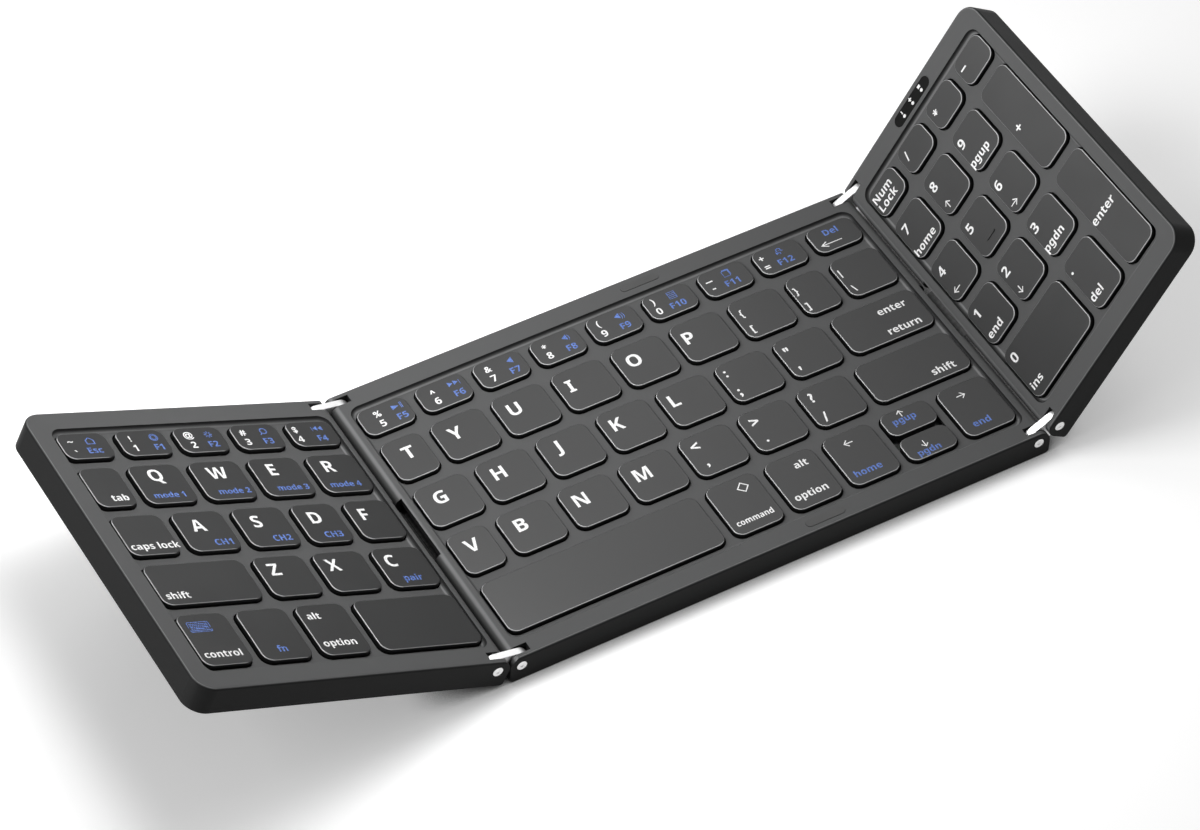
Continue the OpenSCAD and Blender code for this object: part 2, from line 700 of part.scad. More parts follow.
module middle_bumpers() color([0.15, 0.15, 0.15]) middle_at() for (s = [-1, 1])
    translate([bumper_x, s * bumper_y, panel_t - 0.6])
        plate_of(bumper_l - 0.1, bumper_w - 0.1, 0.6 + bumper_up, bumper_w / 2 - 0.06);
module battery() color([0.75, 0.76, 0.78]) middle_at() translate([5, -4, cover_t])
    plate_of(battery_l, battery_w, battery_t, 1.5);
module middle_keys_row_1() color(key_grey) middle_at() keys_of(middle_row(0));
module middle_keys_row_2() color(key_grey) middle_at() keys_of(middle_row(1));
module middle_keys_row_3() color(key_grey) middle_at() keys_of(middle_row(2));
module middle_keys_row_4() color(key_grey) middle_at() keys_of(middle_row(3));
module middle_keys_row_5() color(key_grey) middle_at() keys_of(pick(middle_row(4), 1, 6));
module right_space_bar() color(key_grey) middle_at() keys_of([middle_row(4)[0]]);

module left_top_case() color(case_grey) left_at()
    side_case(left_len, LEFT_KEYS, left_start, left_span, LEFT_SCREWS, LEFT_POSTS);
module left_bottom_cover() color(case_grey * 0.8) left_at()
    cover_of(-pin_to_end + wall, left_len - wall, LEFT_SCREWS, LEFT_POSTS, LEFT_FEET);
module left_support_plate() color(steel) left_at()
    sheet_of(1.9, left_len - 4.6, under_plate, plate_t, LEFT_KEYS, 0.9);
module left_membrane() color([0.85, 0.87, 0.84]) left_at()
    sheet_of(1.9, left_len - 4.6, plate_z, membrane_t, LEFT_KEYS, 0.5);
module left_rubber_domes() color([0.9, 0.9, 0.88]) left_at() domes_of(LEFT_KEYS);
module left_scissor_frames() color([0.8, 0.8, 0.78]) left_at() scissors_of(LEFT_KEYS);
module left_feet() color([0.1, 0.1, 0.1]) left_at() feet_of(LEFT_FEET);
module left_screws() color([0.2, 0.2, 0.21]) left_at() screws_of(LEFT_SCREWS);
module left_hinge_pins() color(steel) left_at() pins();
module left_ribbon_tail() color([0.1, 0.1, 0.1]) left_at() mirror([1, 0, 0]) ribbon_tail();
module left_keys_row_1() color(key_grey) left_at() keys_of(left_row(0));
module left_keys_row_2() color(key_grey) left_at() keys_of(left_row(1));
module left_keys_row_3() color(key_grey) left_at() keys_of(left_row(2));
module left_keys_row_4() color(key_grey) left_at() keys_of(left_row(3));
module left_keys_row_5() color(key_grey) left_at() keys_of(pick(left_row(4), 1, 3));
module left_space_bar() color(key_grey) left_at() keys_of([left_row(4)[0]]);

module right_top_case() color(case_grey) right_at() right_case();
module right_bottom_cover() color(case_grey * 0.8) right_at()
    cover_of(-pin_to_end + wall, right_len - wall, RIGHT_SCREWS, RIGHT_POSTS, RIGHT_FEET);
module right_support_plate() color(steel) right_at()
    sheet_of(1.9, right_len - 2.9, under_plate, plate_t, RIGHT_KEYS, 0.9);
module right_membrane() color([0.85, 0.87, 0.84]) right_at()
    sheet_of(1.9, right_len - 2.9, plate_z, membrane_t, RIGHT_KEYS, 0.5);
module right_rubber_domes() color([0.9, 0.9, 0.88]) right_at() domes_of(RIGHT_KEYS);
module right_scissor_frames() color([0.8, 0.8, 0.78]) right_at() scissors_of(RIGHT_KEYS);
module right_feet() color([0.1, 0.1, 0.1]) right_at() feet_of(RIGHT_FEET);
module right_screws() color([0.2, 0.2, 0.21]) right_at() screws_of(RIGHT_SCREWS);
module right_hinge_pins() color(steel) right_at() pins();
module right_ribbon_tail() color([0.1, 0.1, 0.1]) right_at() mirror([1, 0, 0]) ribbon_tail();
module pad_keys_row_1() color(key_grey) right_at() keys_of(right_row(0));
module pad_keys_row_2() color(key_grey) right_at() keys_of(pick(right_row(1), 0, 2));
module pad_keys_row_3() color(key_grey) right_at() { keys_of(right_row(2)); pad_locator(); }
module pad_keys_row_4() color(key_grey) right_at() keys_of(pick(right_row(3), 0, 2));
module pad_keys_row_5() color(key_grey) right_at() keys_of(right_row(4));
module pad_plus_key() color(key_grey) right_at() keys_of([right_row(1)[3]]);
module pad_enter_key() color(key_grey) right_at() keys_of([right_row(3)[3]]);
module controller_board() color([0.08, 0.3, 0.16]) right_at() board();
module charging_socket() color(steel) right_at() socket();
module indicator_lights() color([0.95, 0.97, 1]) right_at() lights();
module light_window() color([0.04, 0.04, 0.045]) right_at() window_lens();

module left_hinge_links() color(steel) link_at(-1, left_tilt) links();
module left_ribbon_span() color([0.1, 0.1, 0.1]) link_at(-1, left_tilt) ribbon_span();
module right_hinge_links() color(steel) link_at(1, right_tilt) links();
module right_ribbon_span() color([0.1, 0.1, 0.1]) link_at(1, right_tilt) ribbon_span();

middle_top_case();
middle_bottom_cover();
middle_support_plate();
middle_membrane();
middle_rubber_domes();
middle_scissor_frames();
middle_feet();
middle_screws();
middle_hinge_pins();
middle_ribbon_tails();
middle_bumpers();
battery();
middle_keys_row_1();
middle_keys_row_2();
middle_keys_row_3();
middle_keys_row_4();
middle_keys_row_5();
right_space_bar();
left_top_case();
left_bottom_cover();
left_support_plate();
left_membrane();
left_rubber_domes();
left_scissor_frames();
left_feet();
left_screws();
left_hinge_pins();
left_ribbon_tail();
left_keys_row_1();
left_keys_row_2();
left_keys_row_3();
left_keys_row_4();
left_keys_row_5();
left_space_bar();
right_top_case();
right_bottom_cover();
right_support_plate();
right_membrane();
right_rubber_domes();
right_scissor_frames();
right_feet();
right_screws();
right_hinge_pins();
right_ribbon_tail();
pad_keys_row_1();
pad_keys_row_2();
pad_keys_row_3();
pad_keys_row_4();
pad_keys_row_5();
pad_plus_key();
pad_enter_key();
controller_board();
charging_socket();
indicator_lights();
light_window();
left_hinge_links();
left_ribbon_span();
right_hinge_links();
right_ribbon_span();
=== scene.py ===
import json
import math

import bmesh
import bpy
from mathutils import Matrix, Vector

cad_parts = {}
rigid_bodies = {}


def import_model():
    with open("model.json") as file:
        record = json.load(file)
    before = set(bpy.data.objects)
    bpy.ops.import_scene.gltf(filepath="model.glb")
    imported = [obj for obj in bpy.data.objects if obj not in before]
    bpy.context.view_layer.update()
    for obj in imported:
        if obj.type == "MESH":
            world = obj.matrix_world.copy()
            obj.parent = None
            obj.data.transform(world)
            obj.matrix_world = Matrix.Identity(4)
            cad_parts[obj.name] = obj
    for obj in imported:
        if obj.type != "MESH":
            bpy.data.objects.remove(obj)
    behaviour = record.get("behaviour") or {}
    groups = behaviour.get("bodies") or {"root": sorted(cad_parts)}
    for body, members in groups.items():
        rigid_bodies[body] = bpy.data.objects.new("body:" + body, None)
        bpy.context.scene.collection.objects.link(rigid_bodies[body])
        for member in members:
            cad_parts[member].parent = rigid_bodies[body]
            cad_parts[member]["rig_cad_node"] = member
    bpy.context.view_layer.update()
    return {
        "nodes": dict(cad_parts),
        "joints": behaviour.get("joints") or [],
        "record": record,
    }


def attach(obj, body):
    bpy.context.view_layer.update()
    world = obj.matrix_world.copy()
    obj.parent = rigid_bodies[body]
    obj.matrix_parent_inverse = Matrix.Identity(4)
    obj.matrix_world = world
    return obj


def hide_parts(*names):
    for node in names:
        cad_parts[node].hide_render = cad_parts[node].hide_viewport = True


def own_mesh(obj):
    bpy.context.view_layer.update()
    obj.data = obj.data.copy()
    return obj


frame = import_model()
mm = 0.001


# places: each panel has its own axes, with the origin on its underside and +x to the user's right;
# the origin of a side panel is below its fold pin

joints = {j["name"]: j for j in frame["joints"]}
pinHeight = 4.7 * mm    # both of them above the underside
panelTop = 8.0 * mm


def panelPlace(side):
    if side == "middle":
        return Matrix.Translation((0, 0, joints["left_link_fold"]["pos_m"][2] - pinHeight))
    fold = joints[side + "_panel_fold"]
    tilt = math.radians(-2 * fold["range_deg"][0])  # link and panel each turn half of it
    turn = Matrix.Rotation(tilt if side == "left" else -tilt, 4, "Y")
    return Matrix.Translation(fold["pos_m"]) @ turn @ Matrix.Translation((0, 0, -pinHeight))


places = {side: panelPlace(side) for side in ("left", "middle", "right")}


def panelOf(node):
    if node.startswith("left_"):
        return "left"
    if node.startswith("middle_") or node in ("battery", "right_space_bar"):
        return "middle"
    return "right"


def bodyOf(node):
    return next(b for b, members in frame["record"]["behaviour"]["bodies"].items() if node in members)


# materials

class Wire:
    # a shader socket that can be added, multiplied and so on like a number
    def __init__(self, tree, socket):
        self.tree = tree
        self.socket = socket

    def math(self, operation, other, swap=False):
        pair = [other, self] if swap else [self, other]
        return self.tree.add("ShaderNodeMath", {"operation": operation}, dict(enumerate(pair)))

    def __add__(self, other):
        return self.math("ADD", other)

    def __radd__(self, other):
        return self.math("ADD", other, True)

    def __sub__(self, other):
        return self.math("SUBTRACT", other)

    def __rsub__(self, other):
        return self.math("SUBTRACT", other, True)

    def __mul__(self, other):
        return self.math("MULTIPLY", other)

    def __rmul__(self, other):
        return self.math("MULTIPLY", other, True)


class Shader:
    # one material's node tree around a Principled BSDF
    def __init__(self, name, fixed):
        self.material = bpy.data.materials.new(name)
        self.material.use_nodes = True
        self.nodes = self.material.node_tree.nodes
        self.links = self.material.node_tree.links
        self.surface = self.nodes["Principled BSDF"]
        self.plug(self.surface, fixed)
        self.place = self.add("ShaderNodeTexCoord", {}, {}, "Object")

    def plug(self, node, values):
        for key, value in values.items():
            if isinstance(value, Wire):
                self.links.new(value.socket, node.inputs[key])
            else:
                node.inputs[key].default_value = value

    def add(self, kind, settings, values, output=0):
        node = self.nodes.new(kind)
        for key, value in settings.items():
            setattr(node, key, value)
        self.plug(node, values)
        return Wire(self, node.outputs[output])

    def noise(self, perMetre, detail=2.0, rough=0.5, place=None):
        return self.add("ShaderNodeTexNoise", {}, {"Vector": place or self.place, "Scale": perMetre,
                                                   "Detail": detail, "Roughness": rough})

    def lanes(self, perMetre, gap, width, height):
        # staggered lanes, like printed tracks: 1 in the gaps between them
        sizes = {"Scale": perMetre, "Mortar Size": gap, "Brick Width": width, "Row Height": height}
        return self.add("ShaderNodeTexBrick", {}, {"Vector": self.place, **sizes}, "Fac")

    def ramp(self, factor, low, high):
        return self.add("ShaderNodeMapRange", {"interpolation_type": "SMOOTHSTEP"},
                        {"Value": factor, "From Min": low, "From Max": high})

    def mix(self, factor, a, b):
        return self.add("ShaderNodeMix", {"data_type": "RGBA"}, {0: factor, 6: a, 7: b}, 2)

    def bump(self, height, depth):
        return self.add("ShaderNodeBump", {}, {"Height": height, "Distance": depth, "Strength": 1.0})

    def toward(self, axis):
        # 1 where the surface faces along the axis, 0 where it stands square to it
        normal = self.add("ShaderNodeTexCoord", {}, {}, "Normal")
        values = {0: normal, 1: tuple(axis)}
        return self.add("ShaderNodeVectorMath", {"operation": "DOT_PRODUCT"}, values, "Value")

    def done(self, values):
        self.plug(self.surface, values)
        return self.material


def grey(level, tint=0.0):
    return (level * (1 - tint), level, level * (1 + tint), 1)


# fine-grained moulded plastic: tops and walls differ in roughness, and the walls get a painted shade, a
# colour darker than the tops; the rounding between them gets a painted highlight line.
# turn and line: how far a surface faces the top where the painted wall shade ends and where the painted
# highlight line is
plastic = {
    "case": {"top": 0.088, "side": 0.022, "paintedGlint": 0.17, "turn": (0.45, 0.93), "line": (0.75, 0.9),
             "rough": (0.42, 0.56), "specular": 0.06, "grain": 0.011 * mm},
    "cover": {"top": 0.03, "side": 0.03, "paintedGlint": 0.03, "turn": (0.4, 0.9), "line": (0.6, 0.8),
              "rough": (0.5, 0.6), "specular": 0.2, "grain": 0.02 * mm},
    "key": {"top": 0.03, "side": 0.003, "paintedGlint": 0.45, "turn": (0.3, 0.6), "line": (0.35, 0.55),
            "rough": (0.4, 0.36), "specular": 0.5, "grain": 0.004 * mm},
    "flat": (0.93, 0.985),          # the painted highlight line ends before the flat top
    # painted highlights are put only on edges that face this way, as if a lamp shone from there
    "glintFrom": (-0.5, -0.45, 0.74),
    "glintReach": (0.45, 0.8),
    "tint": 0.008,
    "mottle": 0.05,
    "clouds": 90.0,                 # per metre
    "specks": 5200.0,
    "cloudShare": 0.6,
    "cloudRough": 0.08,
}


def mouldedPlastic(slot, side):
    look, tint, mottle = plastic[slot], plastic["tint"], plastic["mottle"]
    axis = places[side].to_3x3() @ Vector((0, 0, 1))
    shader = Shader(slot + "_plastic_" + side, {"Specular IOR Level": look["specular"]})
    facing = shader.add("ShaderNodeMath", {"operation": "ABSOLUTE"}, {0: shader.toward(axis)})
    top = shader.ramp(facing, *look["turn"])
    # the edge line: a painted highlight on the rounding between wall and top, only where the edge faces
    # glintFrom
    line = shader.ramp(facing, *look["line"]) * (1 - shader.ramp(facing, *plastic["flat"]))
    lit = shader.toward(Vector(plastic["glintFrom"]).normalized())
    line = line * shader.ramp(lit, *plastic["glintReach"])
    cloud = shader.noise(plastic["clouds"], 3.0)
    speck = shader.noise(plastic["specks"], 2.0, 0.6)
    # the side colour is painted shade on the walls; the glint colour is a painted highlight on the rounding
    colour = shader.mix(top, grey(look["side"], tint), grey(look["top"], tint))
    colour = shader.mix(line, colour, grey(look["paintedGlint"], tint))
    share = plastic["cloudShare"]
    shade = 1 - mottle + mottle * 2 * (share * cloud + (1 - share) * speck)
    tone = shader.add("ShaderNodeCombineColor", {}, {0: shade, 1: shade, 2: shade})
    colour = shader.add("ShaderNodeMix", {"data_type": "RGBA", "blend_type": "MULTIPLY"},
                        {0: 1.0, 6: colour, 7: tone}, 2)
    wall, face = look["rough"]
    rough = wall + (face - wall) * top + plastic["cloudRough"] * (cloud - 0.5)
    grain = shader.bump(speck, look["grain"])
    return shader.done({"Base Color": colour, "Roughness": rough, "Normal": grain})


# streaks: how much finer the brushing is across each axis
metals = {
    "hinge_steel": {"level": 0.97, "rough": 0.5, "streaks": (1, 8, 8), "depth": 0.002 * mm},
    "plate_steel": {"level": 0.3, "rough": 0.4, "streaks": (1, 12, 1), "depth": 0.01 * mm},
    "screw_steel": {"level": 0.08, "rough": 0.35, "streaks": (4, 4, 4), "depth": 0.01 * mm},
    "socket_steel": {"level": 0.6, "rough": 0.25, "streaks": (8, 1, 8), "depth": 0.005 * mm},
}


def metal(name):
    look = metals[name]
    shader = Shader(name, {"Metallic": 1.0})
    stretched = shader.add("ShaderNodeMapping", {}, {"Vector": shader.place, "Scale": look["streaks"]})
    lines = shader.noise(1000.0, 3.0, place=stretched)
    colour = shader.mix(shader.noise(400.0), grey(look["level"] * 0.92), grey(look["level"]))
    rough = look["rough"] * 0.7 + look["rough"] * 0.6 * lines
    brushed = shader.bump(lines, look["depth"])
    return shader.done({"Base Color": colour, "Roughness": rough, "Normal": brushed})


rubbers = {
    "foot_rubber": {"level": 0.016, "rough": 0.8},
    "bumper_rubber": {"level": 0.07, "rough": 0.6},
}


def rubber(name):
    look = rubbers[name]
    shader = Shader(name, {"Specular IOR Level": 0.25})
    fine = shader.noise(3000.0, 3.0)
    cloud = shader.noise(150.0)
    colour = shader.mix(cloud, grey(look["level"] * 0.85), grey(look["level"] * 1.15))
    return shader.done({"Base Color": colour, "Roughness": look["rough"] + 0.15 * (fine - 0.5),
                        "Normal": shader.bump(fine, 0.02 * mm)})


def siliconeRubber():
    scatter = {"Subsurface Weight": 0.25, "Subsurface Radius": (mm, mm, mm), "Subsurface Scale": 1.0}
    shader = Shader("dome_silicone", scatter)
    cloud = shader.noise(500.0)
    colour = shader.mix(cloud, (0.66, 0.68, 0.66, 1), (0.76, 0.77, 0.75, 1))
    return shader.done({"Base Color": colour, "Roughness": 0.42 + 0.1 * cloud})


def acetal():
    shader = Shader("scissor_acetal", {})
    cloud = shader.noise(800.0)
    colour = shader.mix(cloud, grey(0.03), grey(0.045))
    return shader.done({"Base Color": colour, "Roughness": 0.4 + 0.12 * cloud})


def membraneFilm():
    # film with printed tracks, on a dark adhesive
    shader = Shader("membrane_film", {"Coat Weight": 0.4})
    lanes = shader.lanes(150.0, 0.05, 0.9, 0.35)
    colour = shader.mix(lanes, (0.05, 0.055, 0.05, 1), (0.1, 0.1, 0.1, 1))
    return shader.done({"Base Color": colour, "Roughness": 0.3 + 0.1 * lanes})


def ribbonFilm():
    # black film, faintly ridged by the tracks that run along the cable
    shader = Shader("ribbon_film", {"Coat Weight": 0.2})
    waves = {"Vector": shader.place, "Scale": 160.0}
    track = shader.ramp(shader.add("ShaderNodeTexWave", {"bands_direction": "Y"}, waves), 0.45, 0.55)
    colour = shader.mix(track, grey(0.009), grey(0.018))
    return shader.done({"Base Color": colour, "Roughness": 0.45 - 0.08 * track,
                        "Normal": shader.bump(track, 0.02 * mm)})


def batteryFoil():
    shader = Shader("battery_foil", {"Metallic": 0.85})
    crinkle = shader.noise(700.0, 4.0, 0.6)
    cloud = shader.noise(120.0)
    colour = shader.mix(cloud, grey(0.42), grey(0.55))
    return shader.done({"Base Color": colour, "Roughness": 0.3 + 0.15 * crinkle,
                        "Normal": shader.bump(crinkle, 0.05 * mm)})


def circuitBoard():
    # solder mask over copper: tracks and pads show as paler lanes
    shader = Shader("circuit_board", {"Coat Weight": 0.5})
    lanes = shader.lanes(420.0, 0.07, 1.3, 0.5)
    colour = shader.mix(lanes, (0.006, 0.075, 0.03, 1), (0.02, 0.14, 0.06, 1))
    return shader.done({"Base Color": colour, "Roughness": 0.32 + 0.1 * lanes,
                        "Normal": shader.bump(lanes, 0.01 * mm)})


def darkWindow():
    shader = Shader("dark_window", {"Specular IOR Level": 0.12})
    cloud = shader.noise(600.0)
    colour = shader.mix(cloud, grey(0.003), grey(0.005))
    return shader.done({"Base Color": colour, "Roughness": 0.3 + 0.06 * cloud})


def lightGuide():
    # it glows with painted light: an emission in its own colour, with no lamp behind it
    shader = Shader("light_guide", {"Emission Strength": 0.4})
    cloud = shader.noise(900.0)
    colour = shader.mix(cloud, (0.8, 0.84, 0.9, 1), (0.9, 0.93, 0.97, 1))
    return shader.done({"Base Color": colour, "Emission Color": colour, "Roughness": 0.3 + 0.1 * cloud})


inks = {
    "white": ((0.62, 0.62, 0.62, 1), (0.86, 0.86, 0.86, 1)),
    "blue": ((0.06, 0.11, 0.32, 1), (0.13, 0.22, 0.56, 1)),
}


def keyPrint(ink):
    # slightly uneven, between the two tones of the ink
    shader = Shader(ink + "_ink", {"Specular IOR Level": 0.3})
    wear = shader.noise(2600.0, 3.0)
    colour = shader.mix(shader.ramp(wear, 0.3, 0.65), *inks[ink])
    return shader.done({"Base Color": colour, "Roughness": 0.55 + 0.12 * wear,
                        "Normal": shader.bump(wear, 0.004 * mm)})


# what each kind of node is made of, by a word in its name
kinds = {
    "_key": (mouldedPlastic, "key"),
    "space_bar": (mouldedPlastic, "key"),
    "top_case": (mouldedPlastic, "case"),
    "bottom_cover": (mouldedPlastic, "cover"),
    "hinge": (metal, "hinge_steel"),
    "support_plate": (metal, "plate_steel"),
    "screws": (metal, "screw_steel"),
    "charging_socket": (metal, "socket_steel"),
    "feet": (rubber, "foot_rubber"),
    "bumpers": (rubber, "bumper_rubber"),
    "domes": (siliconeRubber,),
    "scissor": (acetal,),
    "membrane": (membraneFilm,),
    "ribbon": (ribbonFilm,),
    "battery": (batteryFoil,),
    "board": (circuitBoard,),
    "window": (darkWindow,),
    "lights": (lightGuide,),
}
finishes = {}


def finish(make, *given):
    # each finish is made once and shared
    if (make, given) not in finishes:
        finishes[make, given] = make(*given)
    return finishes[make, given]


def finishOf(node):
    make, *given = next(kind for word, kind in kinds.items() if word in node)
    return finish(make, *given, panelOf(node)) if make == mouldedPlastic else finish(make, *given)


for node, thing in frame["nodes"].items():
    material = finishOf(node)
    for slot in thing.material_slots:
        slot.material = material
print("materials:", len(finishes))


# scissor frames and domes are cut into one piece for each key node, on the body of the node they are cut
# from;
# presses gives each kind's slot, its foot and the share of its thickness kept under a pressed key

presses = {
    "scissor_frames": {"slot": "frame", "foot": 4.38 * mm, "keep": 0.54},
    "rubber_domes": {"slot": "dome", "foot": 4.3 * mm, "keep": 0.36},
}


def spread(vertices):
    # lowest and highest x and y
    return [[end(v.co[axis] for v in vertices) for axis in (0, 1)] for end in (min, max)]


def footprint(node):
    # the ground a key node covers, in the panel's own axes
    flat = frame["nodes"][node].data.copy()
    flat.transform(places[panelOf(node)].inverted())
    box = spread(flat.vertices)
    bpy.data.meshes.remove(flat)
    return box


def area(box):
    return (box[1][0] - box[0][0]) * (box[1][1] - box[0][1])


def keyOver(point, keys):
    # the smallest key node above a point, as a row's box can hold a tall key
    over = [key for key, (low, high) in keys.items() if all(low[i] <= point[i] <= high[i] for i in (0, 1))]
    return min(over, key=lambda key: area(keys[key]))


def keepVertices(mesh, kept):
    shape = bmesh.new()
    shape.from_mesh(mesh)
    others = [v for v, keep in zip(shape.verts, kept) if not keep]
    bmesh.ops.delete(shape, geom=others, context="VERTS")
    shape.to_mesh(mesh)
    shape.free()


def splitByKey(side, kind):
    node = side + "_" + kind
    source, press, place = frame["nodes"][node], presses[kind], places[side]
    pressed = [key for key in frame["nodes"] if key + "_press" in joints and panelOf(key) == side]
    keys = {key: footprint(key) for key in pressed}
    owners = [keyOver(place.inverted() @ v.co, keys) for v in source.data.vertices]
    for key in keys:
        piece = source.copy()
        piece.name = key + "_" + kind
        piece.hide_render = piece.hide_viewport = False     # the source is hidden from its first copy on
        piece.data = source.data.copy()
        del piece["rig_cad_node"]
        keepVertices(piece.data, [owner == key for owner in owners])
        bpy.context.scene.collection.objects.link(piece)
        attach(piece, bodyOf(node))
        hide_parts(node)
        key + "_press"
        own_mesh(piece)
    return len(keys)


print("pressed parts:", sum(splitByKey(side, kind) for side in places for kind in presses))


# legends: printed on the key tops in white and blue ink

# each line: ink, height of a capital, y, and the texts by where along x their middle is, all in mm
legends = {
    "left_keys_row_1": [
        ("white", 2.1, 39.3, {-80.9: "~", -63.3: "!", -45.7: "@", -29.1: "#", -12.8: "$"}),
        ("white", 2.3, 35.8, {-80.9: "`", -63.3: "1", -45.7: "2", -29.1: "3", -12.8: "4"}),
        ("blue", (2.5, 2.6), 39.4, {-75.2: "⌂", -56.2: "◎", -39.7: "☼", -22.8: "⌕"}),
        ("blue", (3.3, 1.9), 39.4, {-5.9: "|◄◄"}),
        ("blue", 2.1, 35.8, {-75.2: "Esc", -56.2: "F1", -39.7: "F2", -22.8: "F3", -5.9: "F4"}),
    ],
    "left_keys_row_2": [
        ("white", 4.2, 24.8, {-63.1: "Q", -44.7: "W", -28.0: "E", -10.4: "R"}),
        ("white", 2.2, 18.0, {-77.2: "tab"}),
        ("blue", 1.9, 17.9, {-62.6: "mode 1", -43.1: "mode 2", -25.2: "mode 3", -8.9: "mode 4"}),
    ],
    "left_keys_row_3": [
        ("white", 4.2, 6.1, {-60.6: "A", -43.1: "S", -25.2: "D", -10.0: "F"}),
        ("white", 2.2, -0.3, {-76.3: "caps lock"}),
        ("blue", 2.1, -0.3, {-56.2: "CH1", -38.6: "CH2", -22.9: "CH3"}),
    ],
    "left_keys_row_4": [
        ("white", 4.2, -11.5, {-47.4: "Z", -29.6: "X", -11.9: "C"}),
        ("white", 2.2, -17.9, {-79.2: "shift"}),
        ("blue", 2.1, -18.3, {-8.6: "pair"}),
    ],
    "left_keys_row_5": [
        ("white", 2.2, -28.8, {-45.4: "alt"}),
        ("white", 2.2, -38.9, {-77.4: "control", -42.9: "option"}),
        ("blue", (6.4, 3.6), -29.3, {-79.1: "⌨"}),
        ("blue", 2.1, -38.9, {-60.2: "fn"}),
    ],
    "middle_keys_row_1": [
        ("white", 2.1, 39.3, {-70.4: "%", -54.2: "^", -37.5: "&", -20.6: "*", -4.0: "(", 12.8: ")",
                              46.5: "+"}),
        ("white", (2.0, 0.4), 38.6, {29.8: "_"}),
        ("white", 2.3, 35.8, {-70.4: "5", -54.2: "6", -37.5: "7", -20.6: "8", -4.0: "9", 12.8: "0",
                              29.8: "-", 46.5: "="}),
        ("blue", (3.0, 2.1), 39.4, {-64.6: "►‖"}),
        ("blue", (3.3, 1.9), 39.4, {-47.7: "►►|"}),
        ("blue", (1.6, 2.2), 39.4, {-31.0: "◄"}),
        ("blue", (2.2, 2.3), 39.4, {-14.0: "◄)"}),
        ("blue", (2.9, 2.4), 39.4, {2.4: "◄))"}),
        ("blue", (2.3, 2.6), 39.4, {18.6: "▤", 35.5: "❐", 52.2: "🔒"}),
        ("blue", 2.1, 35.8, {-64.6: "F5", -47.7: "F6", -31.0: "F7", -14.0: "F8", 2.4: "F9", 18.6: "F10",
                             35.5: "F11", 52.2: "F12"}),
        ("blue", 2.1, 39.5, {68.3: "Del"}),
        ("white", (6.6, 2.1), 35.5, {66.4: "⟵"}),
    ],
    "middle_keys_row_2": [
        ("white", 4.2, 23.6, {-69.5: "T", -55.7: "Y", -38.2: "U", -21.4: "I", -2.2: "O", 14.6: "P"}),
        ("white", 2.3, 24.2, {31.3: "{", 48.4: "}", 62.2: "|"}),
        ("white", 2.3, 18.0, {31.3: "[", 48.4: "]", 62.8: "\\"}),
    ],
    "middle_keys_row_3": [
        ("white", 4.2, 6.0, {-69.8: "G", -52.6: "H", -35.0: "J", -17.4: "K", -0.2: "L"}),
        ("white", 3.4, 7.5, {16.5: ":", 34.8: "\""}),
        ("white", 3.4, -0.1, {16.5: ";", 34.8: "'"}),
        ("white", 2.3, 7.0, {67.6: "enter"}),
        ("white", 2.3, -0.3, {67.2: "return"}),
    ],
    "middle_keys_row_4": [
        ("white", 4.2, -12.2, {-70.4: "V", -56.2: "B", -38.6: "N", -20.4: "M"}),
        ("white", 3.3, -10.6, {-3.7: "<", 14.3: ">", 31.8: "?"}),
        ("white", 3.3, -18.0, {-3.7: ",", 14.1: ".", 31.6: "/"}),
        ("white", 2.3, -18.1, {68.0: "shift"}),
    ],
    "middle_keys_row_5": [
        ("white", (3.6, 3.6), -28.7, {0.0: "◇"}),
        ("white", 2.2, -28.8, {17.3: "alt"}),
        ("white", 2.2, -38.9, {14.6: "option"}),
        ("white", (10.8, 1.95), -38.9, {-2.5: "command"}),
        ("white", (2.7, 2.3), -28.8, {31.8: "←", 66.6: "→"}),
        ("white", (2.1, 2.4), -26.5, {49.2: "↑"}),
        ("white", (2.1, 2.4), -38.5, {49.2: "↓"}),
        ("blue", 2.0, -29.1, {49.2: "pgup"}),
        ("blue", 2.0, -41.1, {49.2: "pgdn"}),
        ("blue", 2.1, -39.0, {31.6: "home", 66.5: "end"}),
    ],
    "pad_keys_row_1": [
        ("white", 2.5, 39.1, {6.9: "Num"}),
        ("white", 2.5, 36.0, {6.9: "Lock"}),
        ("white", 2.8, 38.5, {19.5: "/", 34.5: "*"}),
        ("white", (2.2, 0.5), 38.5, {49.3: "-"}),
    ],
    "pad_keys_row_2": [
        ("white", 3.0, 25.1, {4.9: "7", 19.5: "8", 34.1: "9"}),
        ("white", 2.4, 17.5, {7.0: "home", 36.2: "pgup"}),
        ("white", (2.2, 2.6), 17.9, {19.5: "↑"}),
    ],
    "pad_keys_row_3": [
        ("white", 3.0, 7.2, {4.8: "4", 19.5: "5", 34.1: "6"}),
        ("white", (2.8, 2.3), -0.3, {5.0: "←", 34.5: "→"}),
    ],
    "pad_keys_row_4": [
        ("white", 3.0, -10.5, {4.5: "1", 19.2: "2", 34.0: "3"}),
        ("white", 2.4, -17.9, {6.0: "end", 36.2: "pgdn"}),
        ("white", (2.2, 2.6), -17.7, {19.2: "↓"}),
    ],
    "pad_keys_row_5": [
        ("white", 3.0, -28.5, {4.7: "0"}),
        ("white", (0.8, 0.8), -28.9, {33.5: "●"}),
        ("white", 2.4, -38.6, {5.2: "ins", 35.0: "del"}),
    ],
    "pad_plus_key": [("white", 2.8, 12.2, {49.8: "+"})],
    "pad_enter_key": [("white", 2.5, -25.7, {52.0: "enter"})],
    "light_window": [
        ("white", (1.0, 1.0), 46.8, {26.9: "●", 31.3: "●", 35.8: "●"}),
        ("white", (0.35, 1.1), 48.2, {26.9: "■"}),
        ("white", (1.2, 1.2), 48.3, {31.3: "✚"}),
        ("white", (1.1, 0.9), 48.2, {35.8: "■"}),
    ],
}

